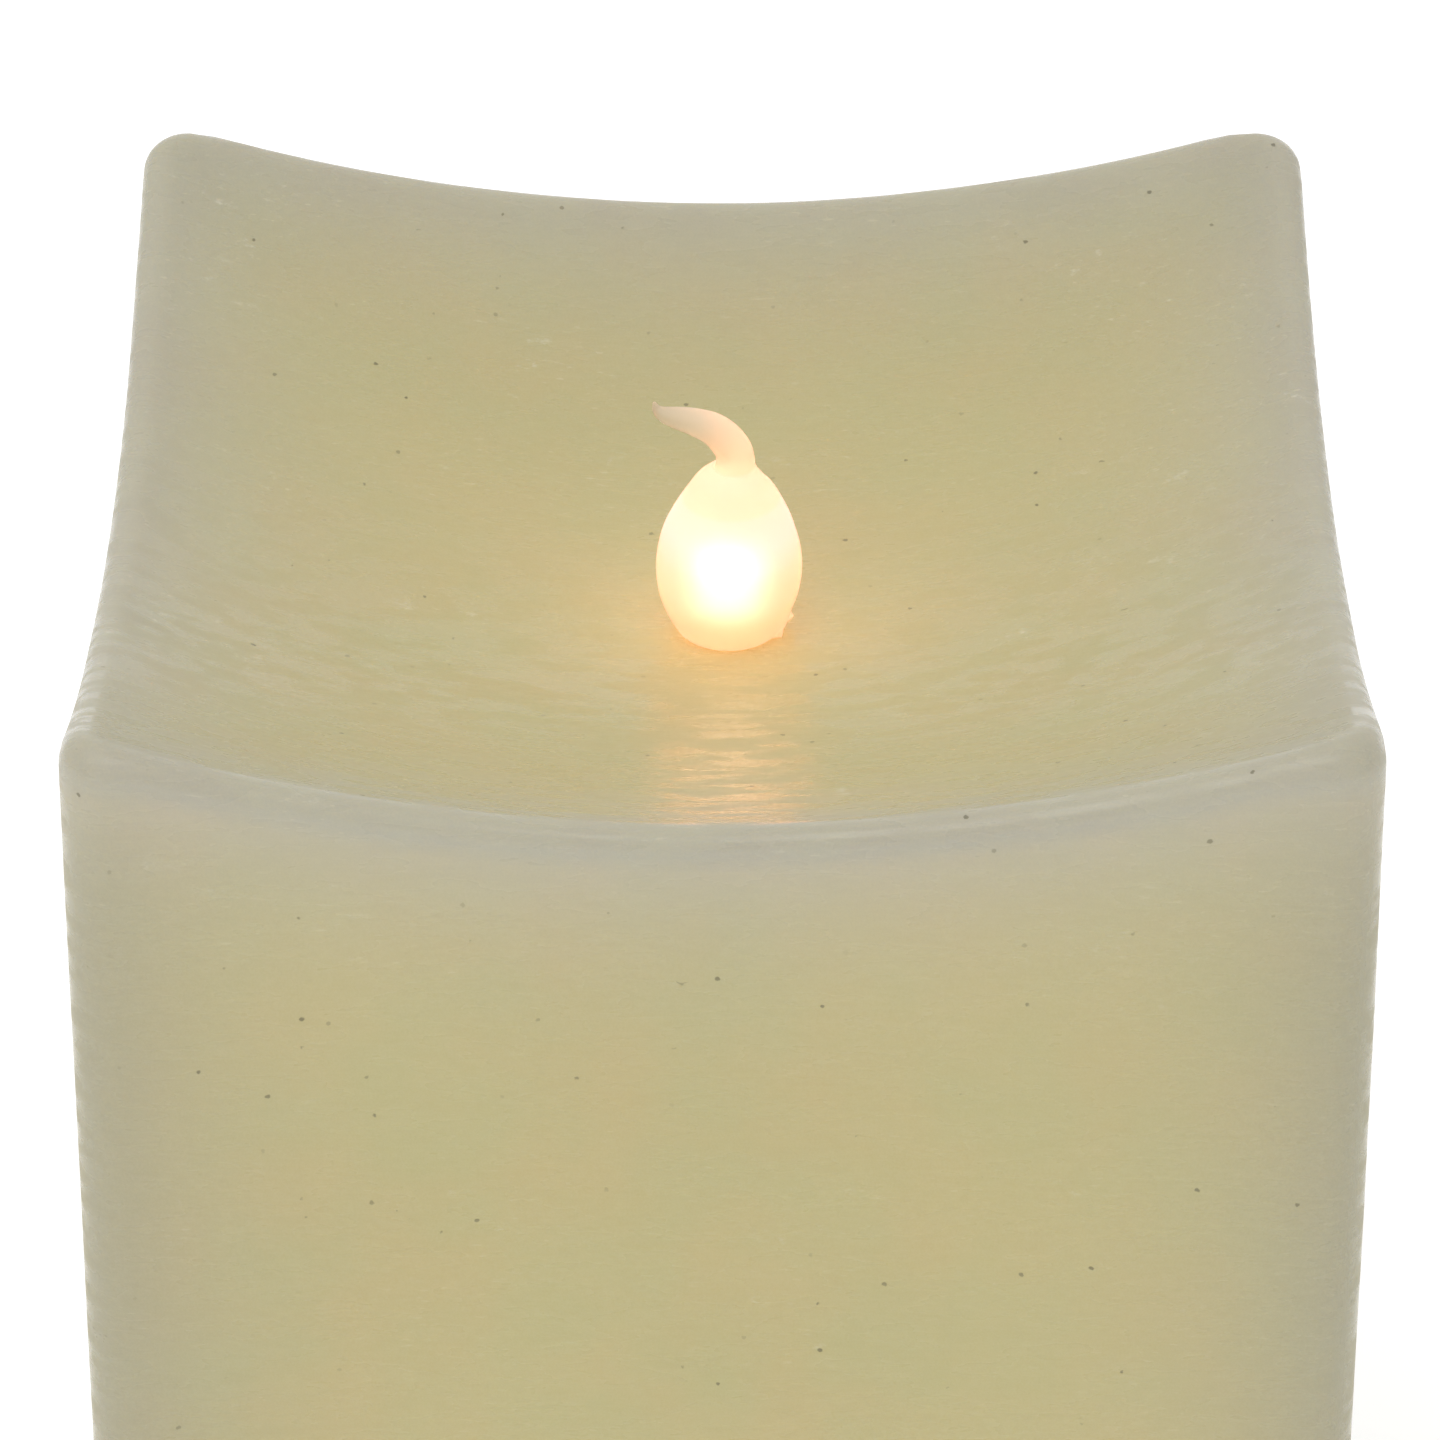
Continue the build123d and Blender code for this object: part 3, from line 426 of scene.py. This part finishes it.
flame_path = smooth_path(flame_stations, 5) * mm
flame_around = 96
flame_points = []
for i, (x, height, radius) in enumerate(flame_path):
    before = flame_path[max(i - 1, 0)]
    after = flame_path[min(i + 1, len(flame_path) - 1)]
    along = np.array((after[0] - before[0], 0, after[1] - before[1]))
    along /= np.linalg.norm(along)
    side = np.array((along[2], 0, -along[0]))
    for k in range(flame_around):
        angle = 2 * math.pi * k / flame_around
        reach = radius
        for turn, level, size, width, depth in flash_thorns:
            off = (math.degrees(angle) - turn + 180) % 360 - 180
            reach += size * mm * math.exp(-(off / width) ** 2 - ((height / mm - level) / depth) ** 2)
        spread = reach * math.cos(angle) * side + np.array((0, reach * math.sin(angle), 0))
        flame_points.append(np.array((flame_x + x, 0, flame_base + height)) + spread)
bore = led_high.x - flame_x + 0.12 * mm
bore_top = led_high.z - flame_base - bore + 0.15 * mm
bore_rings = [(bore + 0.5 * mm, 0.0), (bore, 0.7 * mm), (bore, bore_top)]
for angle in np.linspace(0, math.pi / 2, 9)[1:-1]:
    bore_rings.append((bore * math.cos(angle), bore_top + bore * math.sin(angle)))
for radius, height in bore_rings:
    for k in range(flame_around):
        angle = 2 * math.pi * k / flame_around
        flame_points.append(np.array((flame_x + radius * math.cos(angle), radius * math.sin(angle),
                                      flame_base + height)))
outer_rings = len(flame_path)
flame_faces = []
for ring in range(outer_rings - 1):
    for k in range(flame_around):
        j = (k + 1) % flame_around
        a, b = ring * flame_around, (ring + 1) * flame_around
        flame_faces.append((a + k, a + j, b + j, b + k))
tip = len(flame_points)
flame_points.append(np.array((flame_x + flame_path[-1][0], 0, flame_base + flame_path[-1][1] + 0.12 * mm)))
last = (outer_rings - 1) * flame_around
flame_faces += [(last + k, last + (k + 1) % flame_around, tip) for k in range(flame_around)]
first_bore = outer_rings * flame_around
for k in range(flame_around):
    j = (k + 1) % flame_around
    flame_faces.append((k, first_bore + k, first_bore + j, j))
for ring in range(len(bore_rings) - 1):
    for k in range(flame_around):
        j = (k + 1) % flame_around
        a, b = first_bore + ring * flame_around, first_bore + (ring + 1) * flame_around
        flame_faces.append((a + k, b + k, b + j, a + j))
bore_tip = len(flame_points)
flame_points.append(np.array((flame_x, 0, flame_base + bore_top + bore)))
last = first_bore + (len(bore_rings) - 1) * flame_around
flame_faces += [(last + (k + 1) % flame_around, last + k, bore_tip) for k in range(flame_around)]
flame = add_mesh("silicone_flame", flame_points, flame_faces, frosted_silicone())
heights = (np.array(flame_points)[:, 2] - flame_base) / mm
leans = (flame_x - np.array(flame_points)[:, 0]) / mm
lit_heights = [0, 2.5, 5, 7.5, 10, 12.2, 14, 15.5, 19]
lit_values = [0.6, 0.64, 0.86, 0.9, 1.0, 0.95, 0.7, 0.62, 0.58]
lit = np.interp(heights, lit_heights, lit_values)
lit = np.where(heights > 16, lit - np.clip(leans + 0.5, 0, 7) * 0.085, lit).astype(np.float32)
flame.data.attributes.new("lit", "FLOAT", "POINT").data.foreach_set("value", lit)
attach(flame, "candle")
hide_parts("flame_tip")

# ---- LED --------------------------------------------------------------------------------------------
# A 5 mm lamp of clear epoxy with a flanged base, and its two square tinned steel leads. The chip's light
# fills the lens, so the whole lens shines warm white.


def dress(finish, *names):
    """Gives CAD nodes a finish."""
    for name in names:
        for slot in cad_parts[name].material_slots:
            slot.material = finish


def lit_epoxy():
    """Clear epoxy round a glowing chip: brightest at the height of the chip, warmer towards the flange."""
    finish, tree = new_finish("lit_epoxy")
    place = put(tree, "ShaderNodeTexCoord").outputs["Object"]
    height = put(tree, "ShaderNodeSeparateXYZ", {0: place}).outputs[2]
    up = put(tree, "ShaderNodeMapRange", {"Value": height, "From Min": led_low.z, "From Max": led_high.z})
    tone = put(tree, "ShaderNodeValToRGB", {"Fac": up.outputs[0]})
    stops = tone.color_ramp.elements
    stops[0].color = colour("FFD9A8")
    stops[1].color = colour("FFFAF2")
    stops.new(0.4).color = colour("FFF8EC")
    power = put(tree, "ShaderNodeMapRange", {"Value": up.outputs[0], "From Min": 0.3, "From Max": 0.6,
                                             "To Min": 0.25, "To Max": 2.5}, interpolation_type="SMOOTHSTEP")
    shader = put(tree, "ShaderNodeBsdfPrincipled", {
        "Base Color": colour("FFF6E6"), "Roughness": 0.12, "IOR": 1.54,
        "Emission Color": tone.outputs[0], "Emission Strength": power.outputs[0],
    })
    put(tree, "ShaderNodeOutputMaterial", {"Surface": shader.outputs[0]})
    return finish


def metal(name, tint, roughness, scratch):
    """Plated metal: a plain bright metal with fine rubbed scratches scratch metres across."""
    finish, tree = new_finish(name)
    place = put(tree, "ShaderNodeTexCoord").outputs["Object"]
    finer = 1 / scratch
    moved = put(tree, "ShaderNodeMapping", {"Vector": place, "Scale": (finer, 0.2 * finer, finer)})
    lines = put(tree, "ShaderNodeTexNoise", {"Vector": moved.outputs[0], "Scale": 1.0, "Detail": 5.0})
    stain = put(tree, "ShaderNodeTexNoise", {"Vector": place, "Scale": 1 / (3 * mm), "Detail": 2.0})
    tone = put(tree, "ShaderNodeMix", {0: stain.outputs["Fac"], 6: colour(tint), 7: colour("8F8C86")},
               data_type="RGBA", blend_type="MULTIPLY")
    polish = put(tree, "ShaderNodeMapRange", {"Value": lines.outputs["Fac"], "To Min": roughness * 0.7,
                                              "To Max": roughness * 1.4})
    bump = put(tree, "ShaderNodeBump", {"Height": lines.outputs["Fac"], "Strength": 0.2,
                                        "Distance": 0.02 * mm})
    shader = put(tree, "ShaderNodeBsdfPrincipled", {
        "Base Color": tone.outputs[2], "Roughness": polish.outputs[0], "Metallic": 1.0,
        "Normal": bump.outputs[0],
    })
    put(tree, "ShaderNodeOutputMaterial", {"Surface": shader.outputs[0]})
    return finish


dress(lit_epoxy(), "led_body")

# hot-dipped tin over steel wire: a soft white shine
tinned_steel = metal("tinned_steel", "C9C8C2", 0.3, 0.3 * mm)
dress(tinned_steel, "led_leads", "switch_pins")

# ---- Base, battery tray and stalk --------------------------------------------------------------------
# Black ABS mouldings: the plate closes the hollow, the tray is screwed to it, the stalk stands in the
# tray's socket and its holder presses up under the wax. Mould faces are spark-eroded to a fine matt grain.


def moulded_plastic(name, tint, worn, grain, roughness):
    """Injection-moulded plastic: an even colour with a fine eroded grain, flow marks and faint rub marks."""
    finish, tree = new_finish(name)
    place = put(tree, "ShaderNodeTexCoord").outputs["Object"]
    pits = put(tree, "ShaderNodeTexVoronoi", {"Vector": place, "Scale": 1 / grain, "Randomness": 1.0})
    flow = put(tree, "ShaderNodeTexNoise", {"Vector": place, "Scale": 1 / (18 * mm), "Detail": 4.0})
    marks = put(tree, "ShaderNodeMapping", {"Vector": place, "Rotation": (0, 0, 0.5),
                                            "Scale": (60, 2200, 600)})
    rubbed = put(tree, "ShaderNodeTexNoise", {"Vector": marks.outputs[0], "Scale": 1.0, "Detail": 3.0})
    shown = put(tree, "ShaderNodeMapRange", {"Value": rubbed.outputs["Fac"], "From Min": 0.62,
                                             "From Max": 0.8, "To Max": 0.35})
    tone = put(tree, "ShaderNodeMix", {0: shown.outputs[0], 6: colour(tint), 7: colour(worn)},
               data_type="RGBA")
    gloss = put(tree, "ShaderNodeMapRange", {"Value": flow.outputs["Fac"], "From Min": 0.3, "From Max": 0.7,
                                             "To Min": roughness - 0.06, "To Max": roughness + 0.08})
    bump = put(tree, "ShaderNodeBump", {"Height": pits.outputs["Distance"], "Strength": 0.3,
                                        "Distance": 0.05 * mm})
    shader = put(tree, "ShaderNodeBsdfPrincipled", {
        "Base Color": tone.outputs[2], "Roughness": gloss.outputs[0], "IOR": 1.53, "Normal": bump.outputs[0],
    })
    put(tree, "ShaderNodeOutputMaterial", {"Surface": shader.outputs[0]})
    return finish


# ABS from an eroded steel mould: matt black, a little grey where light grazes it
black_abs = moulded_plastic("black_abs", "242427", "56565A", 0.5 * mm, 0.5)
dress(black_abs, "base_plate", "battery_tray", "battery_door", "led_stalk", "led_holder")

# ---- Cells, contacts and springs ---------------------------------------------------------------------
# Three AA cells in series in plain printed shrink wrap. Nickel-plated spring steel makes the contacts,
# and the conical springs sit on the plates and press the cells' flat ends.


cell_length = 50.5 * mm


def shrink_wrap(body, band, start, way):
    """Glossy printed wrap over a steel can, bare at both ends: a dark body and a coloured band at the nub."""
    finish, tree = new_finish("shrink_wrap")
    place = put(tree, "ShaderNodeTexCoord").outputs["Object"]
    x = put(tree, "ShaderNodeSeparateXYZ", {0: place}).outputs[0]
    along = put(tree, "ShaderNodeMath", {0: x, 1: start}, operation="SUBTRACT")
    along = put(tree, "ShaderNodeMath", {0: along.outputs[0], 1: -way / cell_length}, operation="MULTIPLY")
    stripes = put(tree, "ShaderNodeValToRGB", {"Fac": along.outputs[0]})
    ramp = stripes.color_ramp
    ramp.interpolation = "CONSTANT"
    ramp.elements[0].color = colour("C7C6C0")
    ramp.elements[1].color = colour("C7C6C0")
    ramp.elements[1].position = 0.985
    for position, tint in ((0.045, band), (0.27, "E4E4E0"), (0.285, body)):
        ramp.elements.new(position).color = colour(tint)
    bare = put(tree, "ShaderNodeValToRGB", {"Fac": along.outputs[0]})
    bare.color_ramp.interpolation = "CONSTANT"
    bare.color_ramp.elements[0].color = (1, 1, 1, 1)
    bare.color_ramp.elements[1].color = (1, 1, 1, 1)
    bare.color_ramp.elements[1].position = 0.985
    bare.color_ramp.elements.new(0.045).color = (0, 0, 0, 1)
    scuffs = put(tree, "ShaderNodeTexNoise", {"Vector": place, "Scale": 1 / (0.8 * mm), "Detail": 6.0})
    gloss = put(tree, "ShaderNodeMapRange", {"Value": scuffs.outputs["Fac"], "From Min": 0.35,
                                             "From Max": 0.7, "To Min": 0.18, "To Max": 0.36})
    shader = put(tree, "ShaderNodeBsdfPrincipled", {
        "Base Color": stripes.outputs[0], "Roughness": gloss.outputs[0], "Metallic": bare.outputs[0],
    })
    put(tree, "ShaderNodeOutputMaterial", {"Surface": shader.outputs[0]})
    return finish


for number, way in ((1, 1), (2, -1), (3, 1)):
    cell = f"battery_{number}"
    cell_low, cell_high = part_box(cell)
    dress(shrink_wrap("2B3440", "3F8F8A", cell_high.x if way > 0 else cell_low.x, way), cell)

# bright nickel over spring steel: a warm white mirror, dulled by drawing and stamping
nickel_plate = metal("nickel_plate", "CFC9BC", 0.22, 0.2 * mm)
dress(nickel_plate, "positive_contact", "negative_contact", "bridge_contact_left", "bridge_contact_right",
      "spring_1", "spring_2", "spring_3", "timer_crystal")

# ---- Slide switch --------------------------------------------------------------------------------------
# A three-place slide switch: a pressed tin-plate can, and a white slider whose ridged knob shows in the
# base plate's slot. It slides along the slot from on, through off, to timer.

# tin-plated steel strip: grey, with a satin shine; acetal: a waxy off-white
dress(metal("tin_plate", "B9B8B2", 0.35, 0.4 * mm), "switch_body")
dress(moulded_plastic("white_acetal", "D9D9D4", "A9A9A4", 0.3 * mm, 0.42), "switch_slider")

# ---- Circuit board -------------------------------------------------------------------------------------
# Green solder mask over glass-epoxy laminate, with a flicker chip, a watch crystal, a small electrolytic
# capacitor and chip resistors soldered on.


def solder_mask():
    """Green lacquer over etched copper: lighter over a track, with the glass weave faintly seen."""
    finish, tree = new_finish("solder_mask")
    place = put(tree, "ShaderNodeTexCoord").outputs["Object"]
    tracks = put(tree, "ShaderNodeTexBrick", {
        "Vector": place, "Color1": colour("1D6B3C"), "Color2": colour("1A6338"), "Mortar": colour("0F4426"),
        "Scale": 1 / (9 * mm), "Mortar Size": 0.03, "Brick Width": 0.7, "Row Height": 0.22,
    })
    weave = put(tree, "ShaderNodeTexChecker", {"Vector": place, "Scale": 1 / (0.5 * mm)})
    bump = put(tree, "ShaderNodeBump", {"Height": weave.outputs["Fac"], "Strength": 0.1,
                                        "Distance": 0.02 * mm})
    shader = put(tree, "ShaderNodeBsdfPrincipled", {
        "Base Color": tracks.outputs["Color"], "Roughness": 0.28, "IOR": 1.5, "Normal": bump.outputs[0],
    })
    put(tree, "ShaderNodeOutputMaterial", {"Surface": shader.outputs[0]})
    return finish


dress(solder_mask(), "circuit_board")

# filled epoxy resin is dull and dark, a heat-shrunk sleeve shines, fired glaze is glassy and solder is bright
dress(moulded_plastic("chip_resin", "1C1C1E", "3A3A3C", 0.15 * mm, 0.6), "flicker_chip")
dress(moulded_plastic("capacitor_sleeve", "1B2440", "8C92A0", 0.4 * mm, 0.3), "smoothing_capacitor")
dress(moulded_plastic("resistor_glaze", "232325", "B8B8B4", 0.2 * mm, 0.35), "chip_resistors")
dress(metal("bright_solder", "D2D3D6", 0.18, 0.3 * mm), "solder_joints")

# ---- Wires and sleeves ---------------------------------------------------------------------------------
# Four thin PVC-insulated wires, all inside the hollow: two from the tray's tabs, two up the stalk, where
# heat-shrunk sleeves cover their joints with the LED's leads.

# extruded soft PVC: even and slightly glossy; shrunk polyolefin: a little duller
red_pvc = moulded_plastic("red_pvc", "A31A14", "C4483C", 0.3 * mm, 0.38)
dress(red_pvc, "battery_wire_red", "led_wire_red")
black_pvc = moulded_plastic("black_pvc", "141416", "3E3E40", 0.3 * mm, 0.38)
dress(black_pvc, "battery_wire_black", "led_wire_black")
dress(moulded_plastic("heat_shrink", "19191C", "48484C", 0.25 * mm, 0.45), "heat_shrink_sleeves")

# ---- Screws, glue and feet -----------------------------------------------------------------------------
# Zinc-plated self-tapping screws hold the tray and the board. Beads of hot-melt glue hold the plate in the
# wax, and four rubber feet are stuck under it.

# clear-passivated zinc: greyish, with a soft shine
dress(metal("zinc_plate", "B4B3A9", 0.34, 0.25 * mm), "tray_screws", "board_screws")


def hot_melt():
    """Hot-melt glue: cloudy, soft-edged and slightly glossy, with small bubbles."""
    finish, tree = new_finish("hot_melt")
    place = put(tree, "ShaderNodeTexCoord").outputs["Object"]
    bubbles = put(tree, "ShaderNodeTexVoronoi", {"Vector": place, "Scale": 1 / (0.9 * mm)},
                  feature="SMOOTH_F1").outputs["Distance"]
    tone = put(tree, "ShaderNodeMix", {0: bubbles, 6: colour("E6DFC6"), 7: colour("D2CAA9")},
               data_type="RGBA")
    bump = put(tree, "ShaderNodeBump", {"Height": bubbles, "Strength": 0.3, "Distance": 0.1 * mm})
    shader = put(tree, "ShaderNodeBsdfPrincipled", {
        "Base Color": tone.outputs[2], "Roughness": 0.3, "Subsurface Weight": 0.4,
        "Subsurface Scale": 2 * mm, "Normal": bump.outputs[0],
    })
    put(tree, "ShaderNodeOutputMaterial", {"Surface": shader.outputs[0]})
    return finish


dress(hot_melt(), "glue_beads")

# die-cut cellular rubber: soft grey with no shine
grey_rubber = moulded_plastic("grey_rubber", "4C4C4D", "858583", 0.35 * mm, 0.75)
dress(grey_rubber, "foot_1", "foot_2", "foot_3", "foot_4")

# ---- Stage ------------------------------------------------------------------------------------------
# A pale floor that runs out of sight, an even white surround and one soft overhead light. They only show
# the candle and aren't part of it.

floor_size = 6.0


def pale_floor():
    """Matt white paint with the faintest unevenness, seen from above only, so the base can be looked at."""
    finish, tree = new_finish("pale_floor")
    place = put(tree, "ShaderNodeTexCoord").outputs["Object"]
    clouds = put(tree, "ShaderNodeTexNoise", {"Vector": place, "Scale": 6.0, "Detail": 3.0})
    tone = put(tree, "ShaderNodeMix", {0: clouds.outputs["Fac"], 6: colour("FAFAFA"), 7: colour("FDFDFD")},
               data_type="RGBA")
    shader = put(tree, "ShaderNodeBsdfPrincipled", {
        "Base Color": tone.outputs[2], "Roughness": 0.9, "Emission Color": colour("FFFFFF"),
        "Emission Strength": 0.22,
    })
    underside = put(tree, "ShaderNodeNewGeometry").outputs["Backfacing"]
    clear = put(tree, "ShaderNodeBsdfTransparent")
    one_sided = put(tree, "ShaderNodeMixShader", {0: underside, 1: shader.outputs[0], 2: clear.outputs[0]})
    put(tree, "ShaderNodeOutputMaterial", {"Surface": one_sided.outputs[0]})
    return finish


corners = [(-floor_size, -floor_size, 0), (floor_size, -floor_size, 0), (floor_size, floor_size, 0),
           (-floor_size, floor_size, 0)]
floor = add_mesh("floor", corners, [(0, 1, 2, 3)], pale_floor(), smooth=False)

world = bpy.data.worlds.new("white_surround")
world.use_nodes = True
surround = world.node_tree
background = surround.nodes["Background"]
background.inputs["Color"].default_value = (1.0, 1.0, 1.0, 1.0)
way = put(surround, "ShaderNodeSeparateXYZ", {0: put(surround, "ShaderNodeTexCoord").outputs["Generated"]})
forward = put(surround, "ShaderNodeMapRange", {"Value": way.outputs[1], "From Min": -1.0, "From Max": 0.3,
                                               "To Min": 0.8, "To Max": 1.0}).outputs[0]
sideways = put(surround, "ShaderNodeMath", {0: way.outputs[0], 1: way.outputs[0]}, operation="MULTIPLY")
side_loss = put(surround, "ShaderNodeMapRange", {"Value": sideways.outputs[0], "To Min": 1.0, "To Max": 0.65})
strength = put(surround, "ShaderNodeMath", {0: forward, 1: side_loss.outputs[0]}, operation="MULTIPLY")
surround.links.new(strength.outputs[0], background.inputs["Strength"])
bpy.context.scene.world = world

overhead = bpy.data.lights.new("overhead_softbox", "AREA")
overhead.shape = "DISK"
overhead.size = 1.2
overhead.energy = 4.8
overhead_object = bpy.data.objects.new("overhead_softbox", overhead)
overhead_object.location = (-0.4, -0.5, 1.3)
overhead_object.rotation_euler = (math.atan2(0.5, 1.2), -math.atan2(0.4, 1.2), 0)
bpy.context.scene.collection.objects.link(overhead_object)

# The camera stands straight in front and looks down on the top, through a long lens.
pitch = 0.5784
distance = 5.2438 * rim_width
raised = 0.1964 * rim_width
camera = bpy.data.cameras.new("camera")
camera.lens = 172.17
camera.sensor_width = 36.0
camera.shift_x = -0.0017
camera.clip_start = 0.05
camera.clip_end = 50.0
camera_object = bpy.data.objects.new("camera", camera)
camera_object.location = (0, -rim_half - distance * math.cos(pitch) + raised * math.sin(pitch),
                          dish_z + distance * math.sin(pitch) + raised * math.cos(pitch))
camera_object.rotation_euler = (math.pi / 2 - pitch, 0, 0)
bpy.context.scene.collection.objects.link(camera_object)
bpy.context.scene.camera = camera_object
bpy.context.scene.view_settings.view_transform = "Standard"
